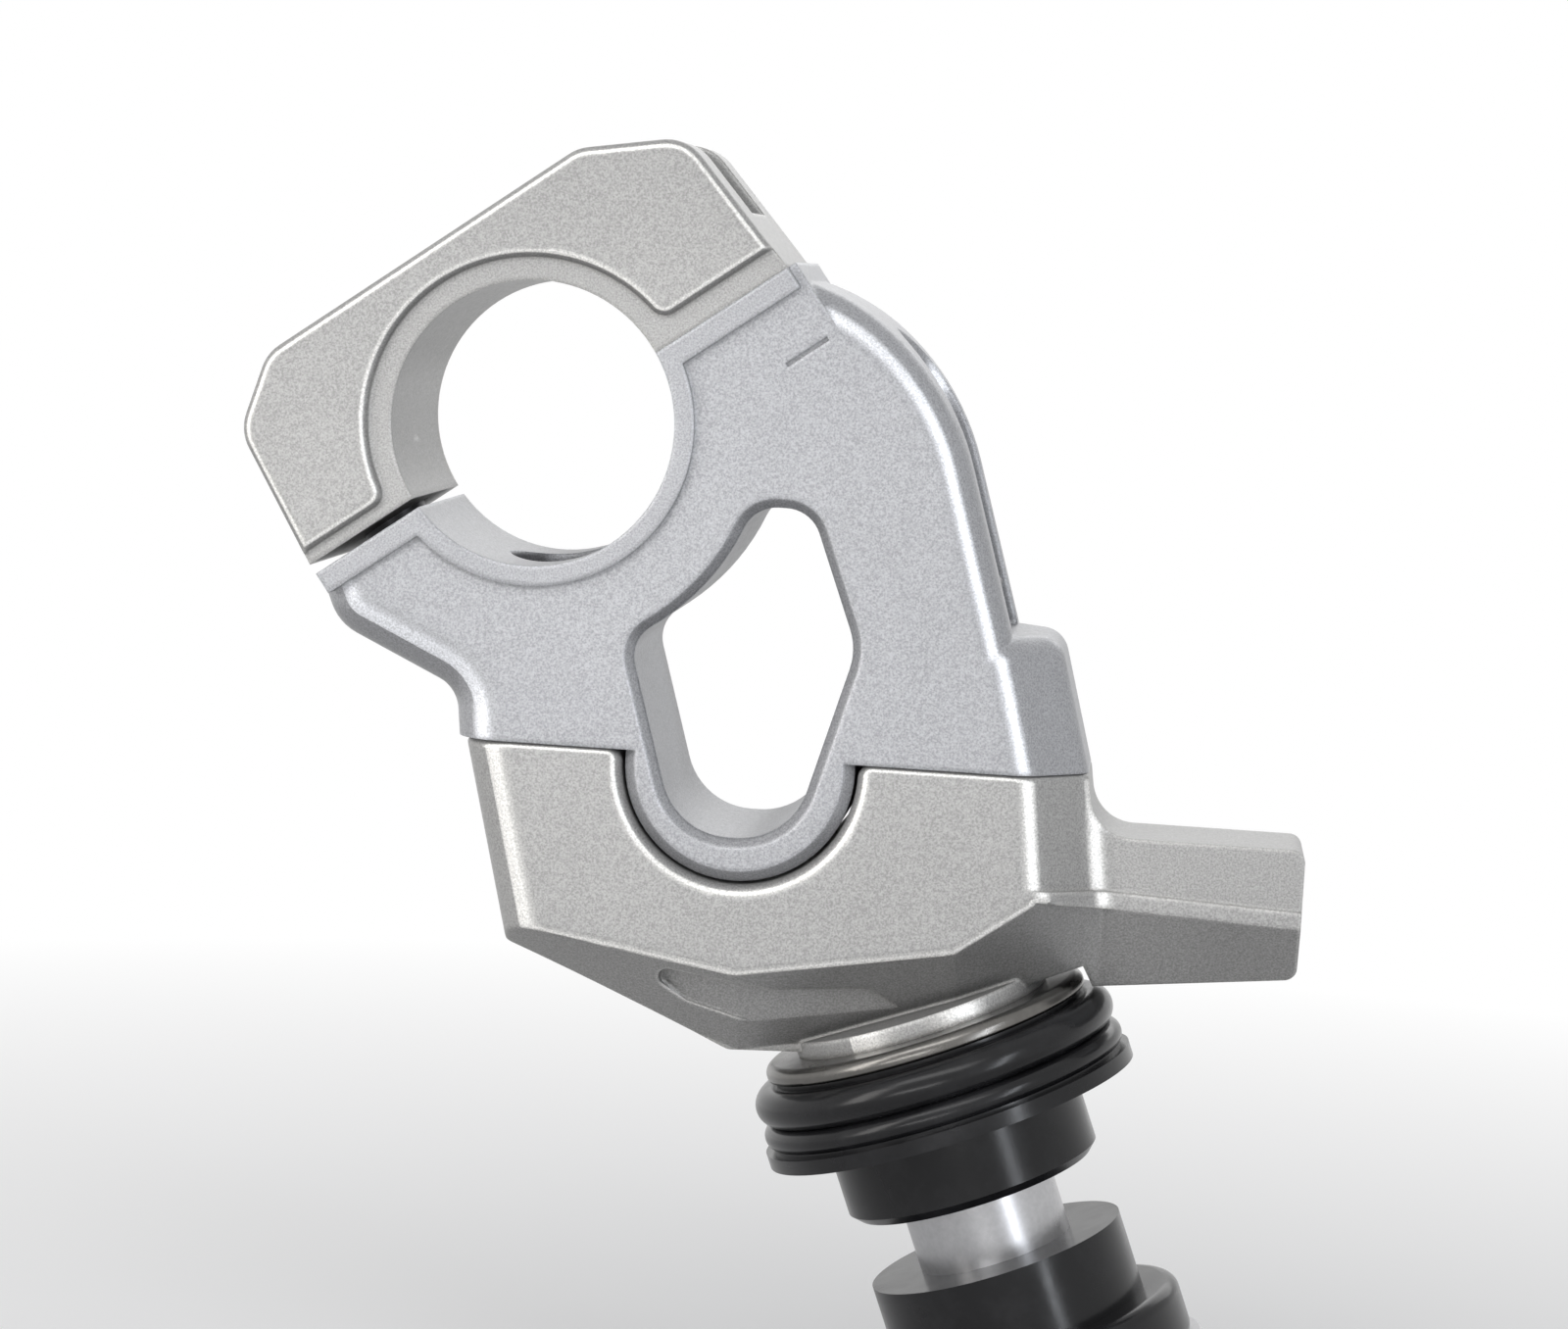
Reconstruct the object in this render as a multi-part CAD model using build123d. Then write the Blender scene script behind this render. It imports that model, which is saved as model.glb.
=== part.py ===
"""Motorcycle bar riser: clamp cap, window riser block, mount casting and its rubber-mounted foot."""
import os
from math import cos, radians, sin, sqrt, tan

from build123d import *

# Frame: +X points forward on the bike, +Y runs along the handlebar to the left, +Z is square to the
# seat between riser block and mount casting. The sub-parts are drawn about the centre of the round
# lobe under the riser block, and at the end everything is moved so that the origin is the point
# where the foot stands on the fork yoke. The right-hand side of the tower faces -Y.

# Overall
WIDTH = 28.0                       # between the two side faces of riser block and mount casting
HALF = WIDTH / 2
FLANK = 6.8                        # how far the nose narrows on each side
CORE = HALF - FLANK                # half width of the nose and of the arm

# Handlebar clamp
BAR_R = 16.0                       # handlebar of 32 mm
BAR_X, BAR_Z = -25.2, 37.2         # bar centre from the lobe centre
SEAM_TILT = 36.0                   # slope of the seam between cap and riser block
SEAM_V = -0.9                      # the seam lies just under the bar centre
REAR_GAP = 1.2                     # open gap at the rear of the cap
BOLT_WEB = 5.8                     # from the bore to the middle of each clamp screw
CLAMP_BOLT_U = BAR_R + BOLT_WEB    # clamp screws, each side of the bar centre
LUG_WALLS = (8.2, 11.7)            # from the rear and front screw to the ends of the clamp
LUG_REAR = -CLAMP_BOLT_U - LUG_WALLS[0]
LUG_FRONT = CLAMP_BOLT_U + LUG_WALLS[1]
CAP_TOP = BAR_R + 6.8              # top of the cap over the bar centre
CAP_DRAFT = 1.6                    # the ends lean in by this much up to the edge of the top
CAP_EDGE_V = CAP_TOP - 5.6
CAP_FLAT = 21.0                    # half length of the flat top
CAP_SOFT = 5.0
CAP_CORNER = 2.0                   # rounding of the raised side face, between ring and seam
CAP_BITE = 3.0                     # the cap's blank runs this far into the bore, which is cut later

# Raised band round the bore and along the seam
BAND = 0.8                         # how far it stands proud of the side face
RING_R = BAR_R + 2.2
LIP_DEPTH = 2.6
LIP_OUT = 1.1                      # lip beyond the rear face of its lug
CAP_PROUD = 1.2                    # raised side face of the cap beyond the band

# Lobe and seat
LOBE_R = 13.0
LOBE_GAP = 0.35                    # air between lobe and saddle
LOBE_CHAMFER = 1.3
SEAT_Z = 1.2

# Riser block outline
WALL_X = 34.5                      # front wall at the height of the lobe centre
WALL_LEAN = 0.30                   # the front wall leans back by this much for each mm of height
SHOULDER_Z = 35.0                  # where the front wall turns into the round shoulder
SHOULDER_MID = (15.2, 48.9)
SHOULDER_OUT = 1.0                 # shoulder beyond the front end of the lip
REAR_X = -31.9                     # rear of the neck at the seat
NECK = (-33.2, 6.4)                # corner between neck and rear lug
LUG_CORNER = (-47.2, 12.9)         # lowest rear corner of the rear lug
NECK_SOFT, LUG_SOFT = 4.0, 6.0
OUTLINE_OVER = 6.0                 # the outline runs this far past the seam and the seat, cut off later
NOSE_X = 39.4                      # nose in front of the wall, at the height of the lobe centre
NOSE_LEAN = 0.27
STEP_Z = 16.4                      # top of the nose
REAR_SOFT = 5.5                    # large rounding down the rear sides
FRONT_SOFT = 3.8                   # rounding of the front wall and the shoulder
FLANK_SOFT = 4.5                   # rounding between side face and nose
NOSE_SOFT = 3.4
STEP_SOFT = 3.2

# Window
WINDOW_WEB = 10.3                  # wall between the bore and the hollow side of the window
WINDOW_CHAMFER = 1.1
WINDOW = ((-6.9, -8.1), (6.1, -8.1), (12.4, 14.1), (6.5, 29.4), (-12.0, 29.4), (-14.3, 17.0))
WINDOW_SOFT = (8.0, 8.0, 7.0)      # roundings of its first three corners
WINDOW_TOP_SOFT, WINDOW_REAR_SOFT = 4.1, 4.0
WINDOW_TOP_SHARE = 0.65            # most of the top's length that one of its two roundings may take
MARK_U, MARK_V = (27.5, 33.0), -9.9    # fine cut on the side faces, below the lip
MARK_WIDE, MARK_DEEP = 0.5, 0.35

# Mount casting
EDGE_REAR = (-27.0, -19.2)         # lower edge of the side face, from the rear to the front
EDGE_LOW = (0.9, -23.3)
EDGE_FRONT = (25.6, -19.1)
EDGE_NOSE = (34.0, -12.9)
CUT_OVER = 16.0                    # cuts that follow that edge start this far behind its corners
BLANK_LOW = -62.4                  # well below the casting, whose underside is cut later
SLANT = 38.0                       # slope of the underside away from upright, below that edge
SLANT_REAR = 58.0                  # flatter at the rear, where it wraps round the upright
KEEL_HALF = 6.0                    # half width of the bottom
KEEL_REAR = (-26.2, -21.9)         # bottom in the side view, from the rear to the front
KEEL_LOW = (-0.3, -33.6)
KEEL_FRONT = (10.2, -33.2)
CAST_LEAN = 0.12                   # lean of the flank beside the nose
ARM_END = 64.0
ARM_TOP = -5.9
ARM_ROOT = 5.0                     # inner rounding between nose and arm
ARM_LOW = (-23.6, -21.2)           # underside of the arm, at its root and at its end
ARM_KEEL = 3.8                     # half width of that underside
CREASE = (-13.9, -14.9)            # where the arm's side turns under, at its root and at its end
RAIL_HIGH, RAIL_OUT = 1.9, 0.5     # rail above that crease
LOWER_SOFT, MOUTH_SOFT, TOP_SOFT = 1.4, 1.6, 0.8
RECESS = ((-11.5, -22.9), (5.0, -25.2), (16.0, -24.4), (19.8, -27.0), (18.6, -29.6), (4.9, -30.2),
          (-5.0, -27.6))
RECESS_TOP, RECESS_LOW = 2.7, 1.5  # its floor stands steeper than the underside
BOSS_R, BOSS_H = 15.0, 1.0         # round boss above the isolator cup
BOSS_T = 2.0                       # its full height beside the slanted underside

# Foot: stack of parts along a stem that leans back
STEM_LEAN = 21.0
FOOT_X, FOOT_Z = 25.6, -39.8       # point on the yoke, from the lobe centre
PAD_S = 11.4                       # top of the cup above the yoke, along the stem
CUP_R, CUP_T = 19.2, 1.9
BOOT_FLANGE_R, BOOT_FLANGE_T = 22.0, 1.7
BOOT_GROOVE_R, BOOT_GROOVE_T = 21.0, 0.4
BOOT_WAIST_R, BOOT_WAIST_S = 20.3, 4.7
BOOT_RIB_R = 21.6                  # both round ribs
BOOT_NECK_R, BOOT_NECK_T = 18.4, 0.7
SPIGOT_R, SPIGOT_L = 15.0, 9.0     # rubber spigot in the yoke's hole
YOKE_T = 26.0                      # thickness of the yoke between the two rubbers
BUSH_R, BUSH_T = 19.0, 7.0
SLEEVE_R, SLEEVE_BORE = 9.0, 6.2
STUD_R = 6.0
STUD_IN = 14.0                     # thread in the casting
DISH_R, DISH_T = 20.0, 2.5
LOCK_R, LOCK_T = 10.6, 2.5
NUT_AF, NUT_T = 19.0, 10.0

# Screws
M8_R = 4.0
M8_CLEAR = 4.3
HEAD_R, HEAD_H = 6.5, 8.0
HEX_AF, HEX_DEPTH = 6.0, 4.2
WASHER_R, WASHER_T = 6.8, 1.6
POCKET_R = 7.2
CLAMP_SEAT_V = 6.8
CLAMP_LENGTH = 20.0
REAR_SCREW_X, REAR_SEAT_Z, REAR_LENGTH = -22.0, 10.4, 25.0
FRONT_SCREW_X, FRONT_SEAT_Z, FRONT_LENGTH = 21.2, 13.0, 25.0
DRILL_EXTRA = 1.2                  # drilled depth beyond the screw's end

BIG = 200.0


def tilt(angle, x, z):
    """A frame whose Z leans back from vertical by the angle, at a point of the side view."""
    c, s = cos(radians(angle)), sin(radians(angle))
    return Plane(origin=(x, 0, z), x_dir=(c, 0, s), z_dir=(-s, 0, c)).location


CLAMP = tilt(SEAM_TILT, BAR_X, BAR_Z)
STEM = tilt(STEM_LEAN, FOOT_X, FOOT_Z)
LOW = (Align.CENTER, Align.CENTER, Align.MIN)
HIGH = (Align.CENTER, Align.CENTER, Align.MAX)


def at_clamp(u, v):
    """Side-view point from clamp coordinates: u along the seam, v square to it."""
    c, s = cos(radians(SEAM_TILT)), sin(radians(SEAM_TILT))
    return (BAR_X + u * c - v * s, BAR_Z + u * s + v * c)


def face_of(points):
    return make_face(Polyline(*points, close=True))


def slab(sketch, half):
    """Side-view sketch made solid, the same distance each side of the middle."""
    return extrude(Plane.XZ * sketch, amount=half, both=True)


def round_corners(sketch, spots):
    """Rounds corners of a side-view sketch: spots are (x, z, radius)."""
    for x, z, radius in spots:
        corner = sketch.vertices().sort_by_distance((x, z, 0))[0]
        sketch = fillet(corner, radius)
    return sketch


def soften(solid, edges, radius, tries=4):
    """Rounds edges, with a smaller radius if the full one doesn't fit."""
    for n in range(tries):
        try:
            result = fillet(edges, radius * (1 - n / (tries + 1)))
            if result.is_valid and result.volume > 0:
                return result
        except Exception:
            continue
    return solid


def soften_each(solid, edges, radius):
    """Rounds edges one after the other, and leaves out the ones that don't take it."""
    for middle in [edge.position_at(0.5) for edge in edges]:
        edge = solid.edges().sort_by_distance(middle)[0]
        if (edge.position_at(0.5) - middle).length < radius:
            solid = soften(solid, [edge], radius)
    return solid


def both_sides(solid):
    return solid + mirror(solid, about=Plane.XZ)


def long_edges(solid, face_y, keep):
    """Edges of the side face at face_y and its twin, that pass the test."""
    found = []
    for edge in solid.edges():
        ends = (edge.position_at(0), edge.position_at(0.5), edge.position_at(1))
        if all(abs(abs(p.Y) - face_y) < 0.01 for p in ends) and keep(ends[1].X, ends[1].Z):
            found.append(edge)
    return found


def lean_extrude(plan, z_low, z_high, lean):
    """A plan outline raised along a wall that leans back; the outline is as wide as at height 0."""
    base = Pos(-lean * z_low, 0, z_low) * plan
    return extrude(base, amount=(z_high - z_low) * sqrt(1 + lean * lean), dir=(-lean, 0, 1))


def nose_plan(nose_x, end_x, out=0.0, tip_soft=0.0):
    """Plan outline of body and nose: full width behind, 45 degree flanks, core width in front."""
    side, core = HALF, CORE + out
    start = nose_x - (side - core)
    points = [(-BIG, -side), (start, -side), (nose_x, -core), (end_x, -core),
              (end_x, core), (nose_x, core), (start, side), (-BIG, side)]
    if end_x <= nose_x:
        points = [(-BIG, -side), (start, -side), (nose_x, -core), (nose_x, core), (start, side), (-BIG, side)]
    spots = [(start, y, FLANK_SOFT) for y in (-side, side)]
    spots += [(nose_x, y, tip_soft) for y in (-core, core)]
    return round_corners(face_of(points), spots)


# Riser block

def window_sketch():
    hollow = BAR_R + WINDOW_WEB
    shape = face_of(WINDOW) - Pos(BAR_X, BAR_Z) * Circle(hollow)
    top_x, top_z = WINDOW[3]
    hollow_x = BAR_X + sqrt(hollow ** 2 - (BAR_Z - top_z) ** 2)
    top_soft = min(WINDOW_TOP_SOFT, (top_x - hollow_x) * WINDOW_TOP_SHARE)
    spots = [corner + (radius,) for corner, radius in zip(WINDOW, WINDOW_SOFT)]
    spots += [(top_x, top_z, top_soft), (hollow_x, top_z, top_soft), WINDOW[5] + (WINDOW_REAR_SOFT,)]
    return round_corners(shape, spots)


def band_sketch(half_lip_rear=LUG_REAR, front=LUG_FRONT):
    """Ring round the bore with the lip along the seam, below the seam."""
    ring = Pos(BAR_X, BAR_Z) * Circle(RING_R)
    lip = face_of([at_clamp(half_lip_rear, SEAM_V), at_clamp(front, SEAM_V),
                   at_clamp(front, SEAM_V - LIP_DEPTH), at_clamp(half_lip_rear, SEAM_V - LIP_DEPTH)])
    return ring + lip


def riser_outline():
    """Outline of the main body, run on past the seat and the seam so that roundings end cleanly."""
    over, under = OUTLINE_OVER, -OUTLINE_OVER
    rear_end = LUG_REAR + LIP_OUT
    front_end = LUG_FRONT + SHOULDER_OUT
    wall = (WALL_X - WALL_LEAN * SHOULDER_Z, SHOULDER_Z)
    lines = Polyline((WALL_X - WALL_LEAN * under, under), wall)
    low_arc = TangentArc(wall, SHOULDER_MID, tangent=(-WALL_LEAN, 1))
    high_arc = TangentArc(SHOULDER_MID, at_clamp(front_end, SEAM_V - LIP_DEPTH), tangent=low_arc % 1)
    lines += [low_arc, high_arc]
    lines += Polyline(high_arc @ 1, at_clamp(front_end, over), at_clamp(rear_end, over), LUG_CORNER,
                      NECK, (REAR_X, under), (WALL_X - WALL_LEAN * under, under))
    sketch = make_face(lines)
    return round_corners(sketch, (LUG_CORNER + (LUG_SOFT,), NECK + (NECK_SOFT,)))


def riser_block():
    body = slab(riser_outline(), HALF)
    rear = long_edges(body, HALF, lambda x, z: x < REAR_X + 1.4 and z < at_clamp(LUG_REAR, BAR_R / 2)[1])
    body = soften(body, rear, REAR_SOFT)
    lug_end = at_clamp(LUG_FRONT, SEAM_V)
    front = long_edges(body, HALF, lambda x, z: x > lug_end[0] and z > -BAR_R)
    body = soften(body, front, FRONT_SOFT)
    # Nose in front of the wall, up to the step
    boss = lean_extrude(nose_plan(NOSE_X, NOSE_X, tip_soft=NOSE_SOFT), SEAT_Z - LIP_DEPTH, STEP_Z, NOSE_LEAN)
    boss &= Pos(WINDOW[2][0], 0, 0) * Box(BIG, BIG, BIG, align=(Align.MIN, Align.CENTER, Align.CENTER))
    top = [e for e in boss.edges() if min(e.position_at(0).Z, e.position_at(1).Z) > STEP_Z - 0.1
           and e.position_at(0.5).X > WALL_X - WALL_LEAN * STEP_Z - NOSE_SOFT]
    boss = soften(boss, top, STEP_SOFT)
    body = body + boss
    # Way down for the front mount screw and its washer, open to the front above the step
    pocket = Cylinder(POCKET_R, BIG, align=LOW)
    pocket += Box(BIG, 2 * POCKET_R, BIG, align=(Align.MIN, Align.CENTER, Align.MIN))
    body -= Pos(FRONT_SCREW_X, 0, STEP_Z) * pocket
    body -= Pos(FRONT_SCREW_X, 0, FRONT_SEAT_Z) * Cylinder(POCKET_R, STEP_Z, align=LOW)
    # Flat seat with the round lobe under it
    body -= Pos(0, 0, SEAT_Z) * Box(BIG, BIG, BIG, align=HIGH)
    lobe = slab(Circle(LOBE_R), HALF)
    lobe = chamfer(lobe.edges().filter_by(GeomType.CIRCLE), LOBE_CHAMFER)
    lobe -= Pos(0, 0, SEAT_Z + 2.0) * Box(BIG, BIG, BIG, align=LOW)
    body += lobe
    # Raised band, bore and seam
    body += slab(band_sketch(), HALF + BAND)
    body -= CLAMP * Pos(0, 0, SEAM_V) * Box(BIG, BIG, BIG, align=LOW)
    body -= slab(Pos(BAR_X, BAR_Z) * Circle(BAR_R), BIG)
    # Window with its chamfers
    window = window_sketch()
    body -= slab(window, BIG)
    box = window.bounding_box()
    lobe_in = LOBE_R - LOBE_CHAMFER - LOBE_GAP
    rims = long_edges(body, HALF, lambda x, z: box.min.X - 0.2 < x < box.max.X + 0.2
                      and box.min.Y - 0.2 < z < box.max.Y + 0.2
                      and not (x * x + z * z > lobe_in ** 2 and z < SEAT_Z))
    try:
        trial = chamfer(rims, WINDOW_CHAMFER)
        body = trial if trial.is_valid else body
    except Exception:
        pass
    # Fine cut on both side faces
    cut = Pos(MARK_U[0], 0, MARK_V) * Box(MARK_U[1] - MARK_U[0], BIG, MARK_WIDE,
                                          align=(Align.MIN, Align.MIN, Align.CENTER))
    body -= both_sides(CLAMP * Pos(0, HALF - MARK_DEEP, 0) * cut)
    # Screw holes
    for u in (-CLAMP_BOLT_U, CLAMP_BOLT_U):
        depth = CLAMP_LENGTH - (CLAMP_SEAT_V + WASHER_T)
        body -= CLAMP * Pos(u, 0, -depth) * Cylinder(M8_R, BIG, align=LOW)
        body -= CLAMP * Pos(u, 0, -depth) * Cone(0.2, M8_R, DRILL_EXTRA, align=HIGH)
    body -= Pos(REAR_SCREW_X, 0, 0) * Cylinder(M8_CLEAR, 4 * STEP_Z)
    body -= Pos(REAR_SCREW_X, 0, REAR_SEAT_Z) * Cylinder(POCKET_R, BAR_Z - REAR_SEAT_Z, align=LOW)
    body -= Pos(FRONT_SCREW_X, 0, 0) * Cylinder(M8_CLEAR, 4 * STEP_Z)
    return body


# Clamp cap

def cap_outline():
    rear = (LUG_REAR + CAP_DRAFT, CAP_EDGE_V)
    front = (LUG_FRONT - CAP_DRAFT, CAP_EDGE_V)
    points = [(LUG_REAR, SEAM_V + REAR_GAP), rear, (-CAP_FLAT, CAP_TOP), (CAP_FLAT, CAP_TOP), front,
              (LUG_FRONT, SEAM_V), (BAR_R - CAP_BITE, SEAM_V), (-BAR_R, SEAM_V + REAR_GAP)]
    shape = face_of(points)
    return round_corners(shape, (rear + (CAP_SOFT,), (-CAP_FLAT, CAP_TOP, CAP_SOFT),
                                 (CAP_FLAT, CAP_TOP, CAP_SOFT), front + (CAP_SOFT,)))


def to_clamp(sketch):
    return Pos(BAR_X, BAR_Z) * Rot(0, 0, SEAM_TILT) * sketch


def clamp_cap():
    outline = cap_outline()
    body = slab(to_clamp(outline), HALF + BAND)
    # Raised side faces, stopping short of the bore and the seam
    level = SEAM_V + LIP_DEPTH
    floor = face_of([(-BIG, level), (BIG, level), (BIG, BIG), (-BIG, BIG)])
    raised = (outline & floor) - Circle(RING_R + LOBE_GAP)
    spots = []
    for vertex in raised.vertices():
        if abs(vertex.Y - level) < 0.01 and abs(vertex.X) < CLAMP_BOLT_U:
            spots.append((vertex.X, vertex.Y, CAP_CORNER))
    raised = round_corners(raised, spots)
    panel = slab(to_clamp(raised), HALF + BAND + CAP_PROUD)
    body = body + panel
    outer = HALF + BAND + CAP_PROUD
    rim = long_edges(body, outer, lambda x, z: True)
    body = soften(body, rim, CAP_PROUD * 0.95)
    body -= slab(Pos(BAR_X, BAR_Z) * Circle(BAR_R), BIG)
    for side in (-1, 1):
        here = CLAMP * Pos(side * CLAMP_BOLT_U, 0, CLAMP_SEAT_V)
        body -= here * Cylinder(POCKET_R, BIG, align=LOW)
        body -= here * Pos(side * BIG / 2, 0, 0) * Box(BIG, 2 * POCKET_R, BIG, align=LOW)
        body -= CLAMP * Pos(side * CLAMP_BOLT_U, 0, 0) * Cylinder(M8_CLEAR, BIG)
    return body


# Mount casting

def pad_height(x, s):
    """Height in the side view at x of a plane square to the stem, at distance s above the yoke."""
    return FOOT_Z + (s + (x - FOOT_X) * sin(radians(STEM_LEAN))) / cos(radians(STEM_LEAN))


def cast_outline():
    """Side view down to the middle of the underside."""
    root = NOSE_X - CAST_LEAN * ARM_TOP
    under = PAD_S + BOSS_H
    high_x = FOOT_X - PAD_S * sin(radians(STEM_LEAN)) + (CUP_R + 0.4) * cos(radians(STEM_LEAN))
    chin = high_x + 1.2
    points = [(REAR_X, SEAT_Z), KEEL_REAR, KEEL_LOW, KEEL_FRONT,
              (KEEL_FRONT[0] + 0.8, pad_height(KEEL_FRONT[0] + 0.8, under)), (high_x, pad_height(high_x, under)),
              (chin, ARM_LOW[0]), (ARM_END, ARM_LOW[1]), (ARM_END, ARM_TOP), (root, ARM_TOP),
              (NOSE_X - NOSE_LEAN * SEAT_Z, SEAT_Z)]
    return round_corners(face_of(points), ((root, ARM_TOP, ARM_ROOT), KEEL_LOW + (2.0,),
                                           (ARM_END, ARM_TOP, 1.5), (ARM_END, ARM_LOW[1], 1.5)))


def under_sections(top_in=0.0, low_out=0.0):
    """Sections across the part, from the rear to the front, of what lies outside the slanted underside."""
    rear_x = EDGE_REAR[0] - CUT_OVER
    slope = (EDGE_LOW[1] - EDGE_REAR[1]) / (EDGE_LOW[0] - EDGE_REAR[0])
    root = NOSE_X - CAST_LEAN * CREASE[0] + RAIL_OUT
    drop = (HALF - KEEL_HALF) / tan(radians(SLANT))
    drop_rear = (HALF - KEEL_HALF) / tan(radians(SLANT_REAR))
    rows = [(rear_x, HALF, EDGE_REAR[1] - slope * CUT_OVER, KEEL_HALF, drop_rear),
            (EDGE_REAR[0], HALF, EDGE_REAR[1], KEEL_HALF, drop_rear),
            (EDGE_LOW[0], HALF, EDGE_LOW[1], KEEL_HALF, drop),
            (EDGE_FRONT[0], HALF, EDGE_FRONT[1], KEEL_HALF, drop),
            (EDGE_NOSE[0], HALF, EDGE_NOSE[1], KEEL_HALF, drop + RAIL_HIGH),
            (root, CORE + RAIL_OUT, CREASE[0], ARM_KEEL, CREASE[0] - ARM_LOW[0]),
            (ARM_END + 1, CORE + RAIL_OUT, CREASE[1], ARM_KEEL, CREASE[1] - ARM_LOW[1])]
    sections = []
    for x, edge_y, edge_z, keel_y, fall in rows:
        top, low = top_in - edge_y, -low_out - keel_y
        outline = face_of([(top, edge_z), (low, edge_z - fall), (low, -BIG), (-BIG, -BIG), (-BIG, edge_z)])
        sections.append(Plane(origin=(x, 0, 0), x_dir=(0, 1, 0), z_dir=(1, 0, 0)) * outline)
    return sections


def mount_casting():
    body = slab(cast_outline(), HALF)
    # Rear uprights rounded
    rear = [e for e in body.edges() if e.position_at(0.5).X < EDGE_REAR[0] + 1
            and abs(abs(e.position_at(0.5).Y) - HALF) < 0.01
            and abs(e.position_at(0).Z - e.position_at(1).Z) > STUD_IN]
    body = soften(body, rear, REAR_SOFT)
    # Nose and arm narrower than the body, with a rail along the arm's lower edge
    rail_rear = EDGE_NOSE[0] - CUT_OVER
    rail_top = [(rail_rear, EDGE_NOSE[1] + RAIL_HIGH), (ARM_END + 1, CREASE[1] + RAIL_HIGH),
                (ARM_END + 1, BLANK_LOW), (rail_rear, BLANK_LOW)]
    core = lean_extrude(nose_plan(NOSE_X, BIG, tip_soft=ARM_ROOT), -BIG / 2, BIG / 2, CAST_LEAN)
    rail = lean_extrude(nose_plan(NOSE_X + RAIL_OUT, BIG, RAIL_OUT, ARM_ROOT), -BIG / 2, BIG / 2, CAST_LEAN)
    rail &= slab(face_of(rail_top), HALF)
    body &= core + rail
    # Slanted underside
    under = loft(under_sections(), ruled=True)
    body -= both_sides(under)
    # Shallow recess on each slanted underside
    floor = loft(under_sections(RECESS_TOP, RECESS_LOW), ruled=True)
    pocket = slab(round_corners(face_of(RECESS), [(x, z, 1.2) for x, z in RECESS]), HALF)
    body -= both_sides(floor & pocket)
    # Boss above the isolator cup
    boss = STEM * Pos(0, 0, PAD_S) * Cylinder(BOSS_R, BOSS_T, align=LOW)
    body += boss
    # Small rounding on the edges of the side faces
    lower = [e for e in long_edges(body, HALF, lambda x, z: z < EDGE_NOSE[1])
             if abs(e.position_at(0).Z - e.position_at(1).Z) < abs(e.position_at(0).X - e.position_at(1).X)]
    body = soften_each(body, lower, LOWER_SOFT)
    tops = [e for e in body.edges() if min(e.position_at(0).Z, e.position_at(1).Z) > SEAT_Z - 0.05]
    body = soften(body, [e for e in tops if e.length > 8], TOP_SOFT)
    # Saddle for the lobe
    saddle = slab(Circle(LOBE_R + LOBE_GAP), BIG)
    body -= saddle
    mouth = long_edges(body, HALF, lambda x, z: abs(x * x + z * z - (LOBE_R + LOBE_GAP) ** 2) < 1.0)
    body = soften(body, mouth, MOUTH_SOFT)
    # Threaded holes and the stud's hole
    depth = REAR_LENGTH - (REAR_SEAT_Z + WASHER_T)
    body -= Pos(REAR_SCREW_X, 0, -depth) * Cylinder(M8_R, BIG, align=LOW)
    depth = FRONT_LENGTH - (FRONT_SEAT_Z + WASHER_T)
    body -= Pos(FRONT_SCREW_X, 0, -depth) * Cylinder(M8_R, BIG, align=LOW)
    body -= STEM * Pos(0, 0, PAD_S + STUD_IN) * Cylinder(STUD_R, BIG, align=HIGH)
    return body


# Fasteners

def cap_screw(length):
    """Socket head screw with its seat at the local origin, shank down."""
    head = Cylinder(HEAD_R, HEAD_H, align=LOW)
    head = chamfer(head.edges().filter_by(GeomType.CIRCLE).sort_by(Axis.Z)[-1], 0.6)
    head -= Pos(0, 0, HEAD_H - HEX_DEPTH) * extrude(RegularPolygon(HEX_AF / 2, 6, major_radius=False), HEX_DEPTH)
    shank = Cylinder(M8_R, length, align=HIGH)
    shank = chamfer(shank.edges().filter_by(GeomType.CIRCLE).sort_by(Axis.Z)[0], 0.7)
    return head + shank


def flat_washer(outer, bore, thick):
    return Cylinder(outer, thick, align=LOW) - Cylinder(bore, 3 * thick)


# Foot

def upper_boot():
    """Rubber with a flange on the yoke, two round ribs and a neck under the cup."""
    top = PAD_S - CUP_T
    groove = BOOT_FLANGE_T + BOOT_GROOVE_T
    neck = top - BOOT_NECK_T
    lines = Polyline((SPIGOT_R, 0), (BOOT_FLANGE_R, 0), (BOOT_FLANGE_R, BOOT_FLANGE_T),
                     (BOOT_GROOVE_R, BOOT_FLANGE_T), (BOOT_GROOVE_R, groove))
    lines += ThreePointArc((BOOT_GROOVE_R, groove), (BOOT_RIB_R, (groove + BOOT_WAIST_S) / 2),
                           (BOOT_WAIST_R, BOOT_WAIST_S))
    lines += ThreePointArc((BOOT_WAIST_R, BOOT_WAIST_S), (BOOT_RIB_R, (BOOT_WAIST_S + neck) / 2),
                           (BOOT_NECK_R, neck))
    lines += Polyline((BOOT_NECK_R, neck), (BOOT_NECK_R, top), (SLEEVE_R, top), (SLEEVE_R, -SPIGOT_L),
                      (SPIGOT_R - 1, -SPIGOT_L), (SPIGOT_R, 1 - SPIGOT_L), (SPIGOT_R, 0))
    return revolve(Plane.XZ * make_face(lines), Axis.Z)


def isolator_cup():
    """Metal plate on top of the boot, its rim rounded."""
    plate = Pos(0, 0, PAD_S - CUP_T) * flat_washer(CUP_R, STUD_R, CUP_T)
    rim = plate.edges().filter_by(GeomType.CIRCLE).filter_by(lambda e: e.radius > CUP_R - 1)
    plate = fillet(rim.sort_by(Axis.Z)[-1], CUP_T * 0.6)
    rim = plate.edges().filter_by(GeomType.CIRCLE).filter_by(lambda e: e.radius > CUP_R - 0.1)
    return fillet(rim.sort_by(Axis.Z)[0], CUP_T * 0.25)


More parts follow.
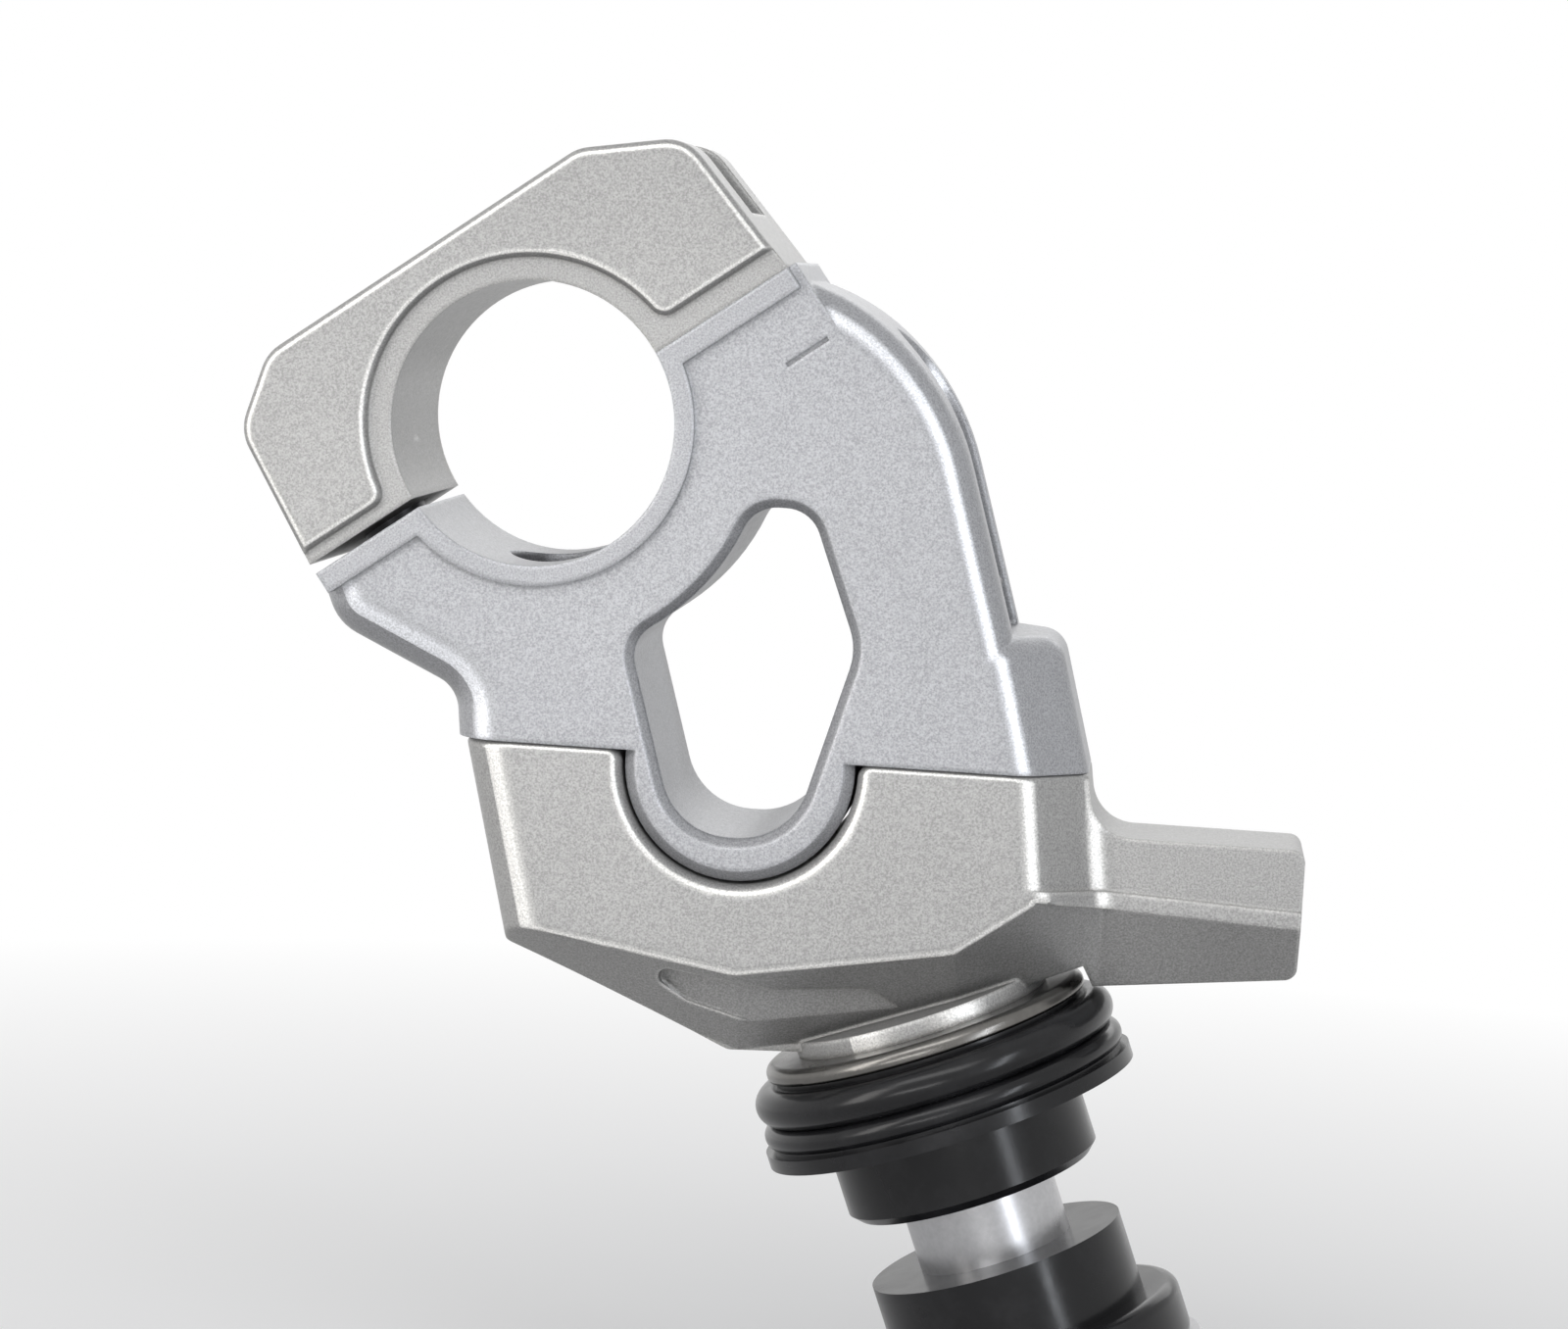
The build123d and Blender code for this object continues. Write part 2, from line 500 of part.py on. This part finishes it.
def spacer_sleeve():
    top = PAD_S - CUP_T
    bottom = -YOKE_T - BUSH_T
    tube = Pos(0, 0, bottom) * Cylinder(SLEEVE_R, top - bottom, align=LOW)
    return tube - Cylinder(SLEEVE_BORE, BIG)


def lower_bush():
    under = -YOKE_T - BUSH_T
    body = Pos(0, 0, under) * Cylinder(BUSH_R, BUSH_T, align=LOW)
    body = fillet(body.edges().filter_by(GeomType.CIRCLE), 1.5)
    body += Pos(0, 0, -YOKE_T - 1) * Cylinder(SPIGOT_R, SPIGOT_L + 1, align=LOW)
    return body - Cylinder(SLEEVE_R, BIG)


def dish_washer():
    under = -YOKE_T - BUSH_T - DISH_T
    body = Pos(0, 0, under) * Cylinder(DISH_R, DISH_T, align=LOW)
    body = chamfer(body.edges().filter_by(GeomType.CIRCLE).sort_by(Axis.Z)[0], DISH_T * 0.5)
    return body - Cylinder(SLEEVE_BORE, BIG)


def lock_washer():
    under = -YOKE_T - BUSH_T - DISH_T - LOCK_T
    ring = Pos(0, 0, under) * (Cylinder(LOCK_R, LOCK_T, align=LOW) - Cylinder(SLEEVE_BORE, 3 * LOCK_T))
    split = Pos(LOCK_R, 0, under) * Rot(25, 0, 0) * Box(LOCK_R, 1.0, 4 * LOCK_T)
    return ring - split


def stem_nut():
    under = -YOKE_T - BUSH_T - DISH_T - LOCK_T - NUT_T
    hexagon = extrude(RegularPolygon(NUT_AF / 2, 6, major_radius=False), NUT_T)
    across = NUT_AF / 2 / cos(radians(30))
    cone = Cylinder(across, NUT_T, align=LOW)
    cone = chamfer(cone.edges().filter_by(GeomType.CIRCLE), 0.9)
    return Pos(0, 0, under) * ((hexagon & cone) - Cylinder(STUD_R, BIG))


def stem_stud():
    end = -YOKE_T - BUSH_T - DISH_T - LOCK_T - NUT_T - 3.0
    body = Pos(0, 0, end) * Cylinder(STUD_R, PAD_S + STUD_IN - end, align=LOW)
    return chamfer(body.edges().filter_by(GeomType.CIRCLE), 0.9)


def place_all():
    parts = {"clamp_cap": clamp_cap(), "riser_block": riser_block(), "mount_casting": mount_casting()}
    washer = flat_washer(WASHER_R, M8_CLEAR, WASHER_T)
    for name, u in (("rear", -CLAMP_BOLT_U), ("front", CLAMP_BOLT_U)):
        seat = CLAMP * Pos(u, 0, CLAMP_SEAT_V)
        parts["clamp_washer_" + name] = seat * washer
        parts["clamp_screw_" + name] = seat * Pos(0, 0, WASHER_T) * cap_screw(CLAMP_LENGTH)
    for name, x, z, length in (("rear", REAR_SCREW_X, REAR_SEAT_Z, REAR_LENGTH),
                               ("front", FRONT_SCREW_X, FRONT_SEAT_Z, FRONT_LENGTH)):
        parts["mount_washer_" + name] = Pos(x, 0, z) * washer
        parts["mount_screw_" + name] = Pos(x, 0, z + WASHER_T) * cap_screw(length)
    for name, solid in (("isolator_cup", isolator_cup()), ("upper_boot", upper_boot()),
                        ("spacer_sleeve", spacer_sleeve()), ("lower_bush", lower_bush()),
                        ("dish_washer", dish_washer()), ("lock_washer", lock_washer()),
                        ("stem_nut", stem_nut()), ("stem_stud", stem_stud())):
        parts[name] = STEM * solid
    return parts


def main():
    os.makedirs("parts", exist_ok=True)
    for name, solid in place_all().items():
        export_step(Pos(-FOOT_X, 0, -FOOT_Z) * solid, "parts/" + name + ".step")


main()
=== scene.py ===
import math

import bpy
from mathutils import Matrix, Vector


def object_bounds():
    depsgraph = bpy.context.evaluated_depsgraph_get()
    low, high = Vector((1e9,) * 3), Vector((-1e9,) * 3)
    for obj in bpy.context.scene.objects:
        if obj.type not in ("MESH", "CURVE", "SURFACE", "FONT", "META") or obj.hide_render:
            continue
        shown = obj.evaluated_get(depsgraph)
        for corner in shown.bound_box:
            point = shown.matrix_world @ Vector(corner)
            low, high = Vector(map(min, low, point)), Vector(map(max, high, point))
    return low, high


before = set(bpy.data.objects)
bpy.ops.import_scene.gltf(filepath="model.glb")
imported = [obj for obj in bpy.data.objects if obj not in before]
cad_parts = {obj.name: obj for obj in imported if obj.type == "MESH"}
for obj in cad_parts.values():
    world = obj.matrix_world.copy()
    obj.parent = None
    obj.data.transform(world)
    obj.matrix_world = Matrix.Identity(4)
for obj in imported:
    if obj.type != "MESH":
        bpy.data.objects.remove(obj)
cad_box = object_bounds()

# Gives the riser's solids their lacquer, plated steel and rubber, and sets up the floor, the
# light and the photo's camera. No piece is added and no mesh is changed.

MM = 0.001


# Shader nodes

# Parts of a noise's range that hold most of its values, wide and narrow.
NOISE_WIDE = (0.30, 0.70)
NOISE_NARROW = (0.35, 0.65)


class Graph:
    """Short way to add and link shader nodes."""

    def __init__(self, tree):
        tree.nodes.clear()
        self.tree = tree

    def add(self, kind, **settings):
        node = self.tree.nodes.new(kind)
        for key, value in settings.items():
            setattr(node, key, value)
        return node

    def feed(self, socket, value):
        """Link an output to a socket, or set the socket to a number or colour."""
        if isinstance(value, bpy.types.NodeSocket):
            self.tree.links.new(value, socket)
        else:
            socket.default_value = value

    def noise(self, coords, scale, detail, rough):
        """Noise with a scale in cells per metre."""
        node = self.add("ShaderNodeTexNoise")
        for key, value in (("Vector", coords), ("Scale", scale), ("Detail", detail),
                           ("Roughness", rough)):
            self.feed(node.inputs[key], value)
        return node.outputs["Fac"]

    def remap(self, value, span, to=(0.0, 1.0)):
        """Stretch a value's span to another one, and hold it at the ends."""
        node = self.add("ShaderNodeMapRange", clamp=True)
        for i, item in enumerate((value, *span, *to)):
            self.feed(node.inputs[i], item)
        return node.outputs[0]

    def math(self, kind, *items):
        node = self.add("ShaderNodeMath", operation=kind)
        for i, item in enumerate(items):
            self.feed(node.inputs[i], item)
        return node.outputs[0]

    def mix(self, factor, a, b, blend="MIX"):
        node = self.add("ShaderNodeMix", data_type="RGBA", blend_type=blend)
        # The colour sockets come after those for numbers and vectors.
        for i, item in ((0, factor), (6, a), (7, b)):
            self.feed(node.inputs[i], item)
        return node.outputs[2]

    def shaded(self, colour, value):
        """A colour times a number."""
        grey = self.add("ShaderNodeCombineColor")
        for socket in grey.inputs[:3]:
            self.feed(socket, value)
        return self.mix(1.0, colour, grey.outputs[0], "MULTIPLY")

    def axes(self, vector):
        """The X, Y and Z of a vector."""
        node = self.add("ShaderNodeSeparateXYZ")
        self.feed(node.inputs[0], vector)
        return node.outputs

    def coords(self, kind="Object"):
        return self.add("ShaderNodeTexCoord").outputs[kind]

    def normal(self):
        return self.add("ShaderNodeNewGeometry").outputs["Normal"]

    def bump(self, height, strength, depth, normal=None):
        node = self.add("ShaderNodeBump")
        node.inputs["Strength"].default_value = strength
        node.inputs["Distance"].default_value = depth
        self.feed(node.inputs["Height"], height)
        if normal is not None:
            self.feed(node.inputs["Normal"], normal)
        return node.outputs[0]

    def surface(self, colour, roughness, bump, **constants):
        """Principled shader and output; the constants are values of its other sockets."""
        shader = self.add("ShaderNodeBsdfPrincipled")
        for key, value in constants.items():
            shader.inputs[key.replace("_", " ")].default_value = value
        self.feed(shader.inputs["Base Color"], colour)
        self.feed(shader.inputs["Roughness"], roughness)
        self.feed(shader.inputs["Normal"], bump)
        self.output(shader, "ShaderNodeOutputMaterial")

    def blend(self, factor, first, second):
        """Mix shader between two shaders."""
        node = self.add("ShaderNodeMixShader")
        for i, item in enumerate((factor, first.outputs[0], second.outputs[0])):
            self.feed(node.inputs[i], item)
        return node

    def output(self, shader, kind):
        self.feed(self.add(kind).inputs[0], shader.outputs[0])

    def shows_backdrop(self):
        """1 on the rays that see the white backdrop: camera, mirror and glass rays."""
        path = self.add("ShaderNodeLightPath").outputs
        through = self.math("MAXIMUM", path["Is Camera Ray"], path["Is Transmission Ray"])
        return self.math("MAXIMUM", through, path["Is Glossy Ray"])


def rgba(colour, gain=1.0, lift=0.0):
    """A colour with alpha, made lighter on request."""
    return (*(min(1.0, c * gain + lift) for c in colour), 1.0)


def new_material(name):
    mat = bpy.data.materials.new(name)
    mat.use_nodes = True
    return mat, Graph(mat.node_tree)


# Masks for wear, painted highlights and painted shade

EDGE_SAMPLES = 6


def edge_mask(g, radius, span):
    """1 on sharp edges and 0 on flats, and the normal with its edges rounded.

    The span is of how well the rounded normal agrees with the true one.
    """
    bevel = g.add("ShaderNodeBevel", samples=EDGE_SAMPLES)
    bevel.inputs["Radius"].default_value = radius
    dot = g.add("ShaderNodeVectorMath", operation="DOT_PRODUCT")
    g.feed(dot.inputs[0], bevel.outputs[0])
    g.feed(dot.inputs[1], g.normal())
    return g.remap(dot.outputs["Value"], span, (1.0, 0.0)), bevel.outputs[0]


# Painted shade on downward faces: the normal's Z span over which it sets in, and its darkest
# tone.
UNDERSIDE_SHADE_SLOPE = (-0.46, -0.20)
UNDERSIDE_SHADE_TONE = 0.72


def painted_underside_shade(g):
    """Painted shade on what faces down: 1 on upright and upper surfaces, darker below."""
    return g.remap(g.axes(g.normal())["Z"], UNDERSIDE_SHADE_SLOPE, (UNDERSIDE_SHADE_TONE, 1.0))


# Half widths just under that of the side faces, and slopes from underside to upright.
OUTER_LAYER = (12.8 * MM, 13.2 * MM)
OUTER_SLOPE = (-0.25, -0.12)
# How far sideways the normal points where a rounding starts and where the side face does.
ROUNDING_START = (0.80, 0.88)
ROUNDING_END = (0.955, 0.999)


def painted_rounding_highlight(g, coords):
    """1 on the roundings round the side faces, where a highlight is painted in a lighter
    colour.

    Slanted undersides that lie inside the side faces are no roundings and are left out.
    """
    normal = g.axes(g.normal())
    outside = g.remap(g.math("ABSOLUTE", g.axes(coords)["Y"]), OUTER_LAYER)
    outside = g.math("MAXIMUM", outside, g.remap(normal["Z"], OUTER_SLOPE))
    sideways = g.math("MULTIPLY", g.math("ABSOLUTE", normal["Y"]), outside)
    return g.math("MULTIPLY", g.remap(sideways, ROUNDING_START),
                  g.remap(sideways, ROUNDING_END, (1.0, 0.0)))


HOLLOW_SAMPLES = 4
HOLLOW_REACH = 2.0 * MM
HOLLOW_OPEN = (0.35, 0.85)
HOLLOW_TONE = 0.62


def painted_hollow_shade(g):
    """Painted shade: a soft dark line in inside corners, and 1 elsewhere."""
    shade = g.add("ShaderNodeAmbientOcclusion", samples=HOLLOW_SAMPLES, only_local=True)
    shade.inputs["Distance"].default_value = HOLLOW_REACH
    return g.remap(shade.outputs["AO"], HOLLOW_OPEN, (HOLLOW_TONE, 1.0))


# Looks

PAINT_EDGE, PAINT_EDGE_SPAN, PAINT_EDGE_SHARE = 0.85 * MM, (0.84, 0.992), 0.6
PAINT_SPECK_TONES = (0.77, 1.23)
PAINT_CLOUD_TONES = (0.975, 1.025)
PAINT_GRAIN_SHARE, PAINT_FLAKE_SHARE = 0.6, 0.4
PAINT_BUMP, PAINT_BUMP_DEPTH = 0.30, 0.05 * MM
PAINT_METALLIC = 0.45
PAINT_ROUGHNESS = (0.34, 0.44)


def silver_paint(name, base, rubbed_and_highlight):
    """Fine metallic silver lacquer over a cast surface: speckle, mottling, edges lightened as
    wear and painted highlight, painted shade in corners and below.
    """
    mat, g = new_material(name)
    coords = g.coords()
    flake = g.noise(coords, 4600.0, 1.0, 0.6)
    grain = g.noise(coords, 1500.0, 2.0, 0.6)
    cloud = g.noise(coords, 45.0, 2.0, 0.5)
    tone = g.math("MULTIPLY", g.remap(flake, NOISE_WIDE, PAINT_SPECK_TONES),
                  g.remap(cloud, NOISE_NARROW, PAINT_CLOUD_TONES))
    # Painted shade in inside corners darkens the tone.
    tone = g.math("MULTIPLY", tone, painted_hollow_shade(g))
    edges, soft_normal = edge_mask(g, PAINT_EDGE, PAINT_EDGE_SPAN)
    # Edges and side-face roundings take the lighter colour: partly wear, partly painted
    # highlight.
    wear_and_highlight = g.math("MAXIMUM", g.math("MULTIPLY", edges, PAINT_EDGE_SHARE),
                  painted_rounding_highlight(g, coords))
    # Faces that point down are darkened as painted shade.
    worn_and_highlight = g.mix(wear_and_highlight, g.shaded(rgba(base), painted_underside_shade(g)), rgba(rubbed_and_highlight))
    height = g.math("ADD", g.math("MULTIPLY", grain, PAINT_GRAIN_SHARE),
                    g.math("MULTIPLY", flake, PAINT_FLAKE_SHARE))
    g.surface(g.shaded(worn_and_highlight, tone), g.remap(grain, NOISE_WIDE, PAINT_ROUGHNESS),
              g.bump(height, PAINT_BUMP, PAINT_BUMP_DEPTH, soft_normal),
              Metallic=PAINT_METALLIC)
    return mat


STEEL_EDGE, STEEL_EDGE_SPAN, STEEL_EDGE_SHARE = 0.25 * MM, (0.90, 0.999), 0.4
STEEL_WEAR_HIGHLIGHT_GAIN, STEEL_WEAR_HIGHLIGHT_LIFT = 1.5, 0.05
STEEL_LINE_TONES = (0.94, 1.06)
STEEL_BLOTCH_TONES = (0.93, 1.05)
STEEL_SMOOTHER, STEEL_ROUGHER = 0.05, 0.07
STEEL_BUMP, STEEL_BUMP_DEPTH = 0.15, 0.02 * MM


def plated_steel(name, base, rough):
    """Plated steel: fine grain, slight blotches and brighter edges."""
    mat, g = new_material(name)
    coords = g.coords()
    fine = g.noise(coords, 1400.0, 2.0, 0.6)
    blotch = g.noise(coords, 120.0, 3.0, 0.55)
    tone = g.math("MULTIPLY", g.remap(fine, NOISE_WIDE, STEEL_LINE_TONES),
                  g.remap(blotch, NOISE_NARROW, STEEL_BLOTCH_TONES))
    edges, soft_normal = edge_mask(g, STEEL_EDGE, STEEL_EDGE_SPAN)
    # Edges are lightened: partly wear, partly painted highlight.
    worn_and_highlight = g.mix(g.math("MULTIPLY", edges, STEEL_EDGE_SHARE), rgba(base),
                 rgba(base, STEEL_WEAR_HIGHLIGHT_GAIN, STEEL_WEAR_HIGHLIGHT_LIFT))
    roughness = g.remap(blotch, NOISE_WIDE, (rough - STEEL_SMOOTHER, rough + STEEL_ROUGHER))
    g.surface(g.shaded(worn_and_highlight, tone), roughness,
              g.bump(fine, STEEL_BUMP, STEEL_BUMP_DEPTH, soft_normal), Metallic=1.0)
    return mat


RUBBER_BLOOM_SPAN, RUBBER_BLOOM_SHARE = (0.45, 0.75), (0.0, 0.7)
RUBBER_BLOOM_GAIN, RUBBER_BLOOM_LIFT = 2.0, 0.004
RUBBER_BUMP, RUBBER_BUMP_DEPTH = 0.2, 0.03 * MM
RUBBER_ROUGHNESS = (0.17, 0.28)
RUBBER_SPECULAR = 0.28


def moulded_rubber(name, base):
    """Satin black rubber with a slight dust bloom."""
    mat, g = new_material(name)
    coords = g.coords()
    fine = g.noise(coords, 1800.0, 2.0, 0.6)
    bloom = g.noise(coords, 150.0, 4.0, 0.6)
    colour = g.mix(g.remap(bloom, RUBBER_BLOOM_SPAN, RUBBER_BLOOM_SHARE), rgba(base),
                   rgba(base, RUBBER_BLOOM_GAIN, RUBBER_BLOOM_LIFT))
    g.surface(colour, g.remap(bloom, NOISE_WIDE, RUBBER_ROUGHNESS),
              g.bump(fine, RUBBER_BUMP, RUBBER_BUMP_DEPTH),
              Specular_IOR_Level=RUBBER_SPECULAR)
    return mat


# The second colour of each silver is the lighter colour of wear and painted highlight on
# edges and roundings.
COOL = silver_paint("silver_cool", (0.358, 0.361, 0.375), (0.76, 0.77, 0.80))
WARM = silver_paint("silver_warm", (0.350, 0.347, 0.341), (0.79, 0.78, 0.755))
BLACK_STEEL = plated_steel("black_screw_steel", (0.05, 0.05, 0.053), 0.36)
ZINC = plated_steel("zinc_steel", (0.42, 0.42, 0.43), 0.30)
# Dark partly from the cup's own dark plating and partly as painted shade under the casting.
DARK_ZINC_AND_SHADE = plated_steel("dark_zinc_steel_and_shade", (0.15, 0.145, 0.137), 0.24)
RUBBER = moulded_rubber("boot_rubber", (0.009, 0.009, 0.010))

LOOKS = {
    "clamp_cap": WARM, "riser_block": COOL, "mount_casting": WARM,
    "clamp_screw_rear": BLACK_STEEL, "clamp_screw_front": BLACK_STEEL,
    "mount_screw_rear": BLACK_STEEL, "mount_screw_front": BLACK_STEEL,
    "clamp_washer_rear": ZINC, "clamp_washer_front": ZINC,
    "mount_washer_rear": ZINC, "mount_washer_front": ZINC,
    "isolator_cup": DARK_ZINC_AND_SHADE, "upper_boot": RUBBER, "lower_bush": RUBBER,
    "spacer_sleeve": ZINC, "dish_washer": ZINC, "lock_washer": ZINC, "stem_nut": ZINC,
    "stem_stud": BLACK_STEEL,
}
for node_name, look in LOOKS.items():
    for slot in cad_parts[node_name].material_slots:
        slot.material = look


# Floor

FLOOR_REACH = 3.0
FLOOR_COLOUR = (0.86, 0.86, 0.86)
# Distances from the frame's centre, in metres, between which the floor turns white.
FLOOR_FADE = (0.08, 0.40)
FLOOR_FADE_SHARE = (0.30, 1.0)
WHITE = (1.0, 1.0, 1.0)


def floor_material():
    """Pale floor that keeps shadows near the part and runs out to white."""
    mat, g = new_material("pale_floor")
    length = g.add("ShaderNodeVectorMath", operation="LENGTH")
    g.feed(length.inputs[0], g.coords())
    fade = g.remap(length.outputs["Value"], FLOOR_FADE, FLOOR_FADE_SHARE)
    diffuse = g.add("ShaderNodeBsdfDiffuse")
    diffuse.inputs["Color"].default_value = rgba(FLOOR_COLOUR)
    glow = g.add("ShaderNodeEmission")
    glow.inputs["Color"].default_value = rgba(WHITE)
    g.output(g.blend(g.math("MULTIPLY", fade, g.shows_backdrop()), diffuse, glow),
             "ShaderNodeOutputMaterial")
    return mat


def make_floor():
    low = cad_box[0][2]
    turns = ((-1, -1), (1, -1), (1, 1), (-1, 1))
    mesh = bpy.data.meshes.new("floor")
    mesh.from_pydata([(x * FLOOR_REACH, y * FLOOR_REACH, low) for x, y in turns], [],
                     [(0, 1, 2, 3)])
    floor = bpy.data.objects.new("floor", mesh)
    bpy.context.scene.collection.objects.link(floor)
    mesh.materials.append(floor_material())


# Light

PART_MIDDLE = Vector((-0.010, 0.0, 0.040))
# Name; turn from the camera's side towards the front and height, in degrees; distance,
# and width and height of the lamp, in metres; watts; colour.
LAMPS = (
    ("top", -20, 46, 0.65, (0.60, 0.20), 1.30, WHITE),
    ("left", -51, 10, 0.65, (0.20, 0.50), 1.40, (1.0, 0.975, 0.95)),
    ("right", 44, 8, 0.70, (0.07, 0.55), 1.40, (0.90, 0.94, 1.0)),
    ("front", -10, -2.5, 0.70, (0.40, 0.08), 0.62, WHITE),
    ("back", 165, 30, 0.80, (0.70, 0.40), 1.10, WHITE),
)
WORLD_COLOUR = (0.72, 0.73, 0.76)
# The world is dimmer towards the front, from the middle of the sky to near +X.
WORLD_SPAN = (0.0, 0.90)
WORLD_STRENGTH = (0.40, 0.06)


def softbox(name, turn, height, away, size, power, colour):
    """Soft lamp that faces the part's middle and that the camera doesn't see."""
    a, h = math.radians(turn), math.radians(height)
    way = Vector((math.sin(a) * math.cos(h), -math.cos(a) * math.cos(h), math.sin(h)))
    data = bpy.data.lights.new(name, "AREA")
    data.shape = "RECTANGLE"
    data.size, data.size_y = size
    data.energy = power
    data.color = colour
    lamp = bpy.data.objects.new(name, data)
    lamp.location = PART_MIDDLE + away * way
    lamp.rotation_euler = (-way).to_track_quat("-Z", "Y").to_euler()
    lamp.visible_camera = False
    bpy.context.scene.collection.objects.link(lamp)


def make_light():
    for lamp in LAMPS:
        softbox(*lamp)
    world = bpy.data.worlds.new("studio")
    bpy.context.scene.world = world
    world.use_nodes = True
    g = Graph(world.node_tree)
    dim = g.add("ShaderNodeBackground")
    dim.inputs["Color"].default_value = rgba(WORLD_COLOUR)
    forward = g.axes(g.coords("Generated"))["X"]
    g.feed(dim.inputs["Strength"], g.remap(forward, WORLD_SPAN, WORLD_STRENGTH))
    white = g.add("ShaderNodeBackground")
    white.inputs["Color"].default_value = rgba(WHITE)
    g.output(g.blend(g.shows_backdrop(), dim, white), "ShaderNodeOutputWorld")


# Camera

CAMERA_AT = Vector((20.0, -470.0, 96.6)) * MM
CAMERA_TO = Vector((-22.4, 0.0, 50.4)) * MM
CAMERA_ROLL = math.radians(3.25)
CAMERA_LENS = 94.4
CAMERA_SENSOR = 36.0
CAMERA_NEAR = 0.01


def make_camera():
    data = bpy.data.cameras.new("photo_camera")
    data.sensor_width = CAMERA_SENSOR
    data.lens = CAMERA_LENS
    data.clip_start = CAMERA_NEAR
    camera = bpy.data.objects.new("photo_camera", data)
    aim = (CAMERA_TO - CAMERA_AT).to_track_quat("-Z", "Y").to_matrix().to_4x4()
    roll = Matrix.Rotation(CAMERA_ROLL, 4, "Z")
    camera.matrix_world = Matrix.Translation(CAMERA_AT) @ aim @ roll
    bpy.context.scene.collection.objects.link(camera)
    bpy.context.scene.camera = camera


make_floor()
make_light()
make_camera()
bpy.context.scene.view_settings.view_transform = "Standard"
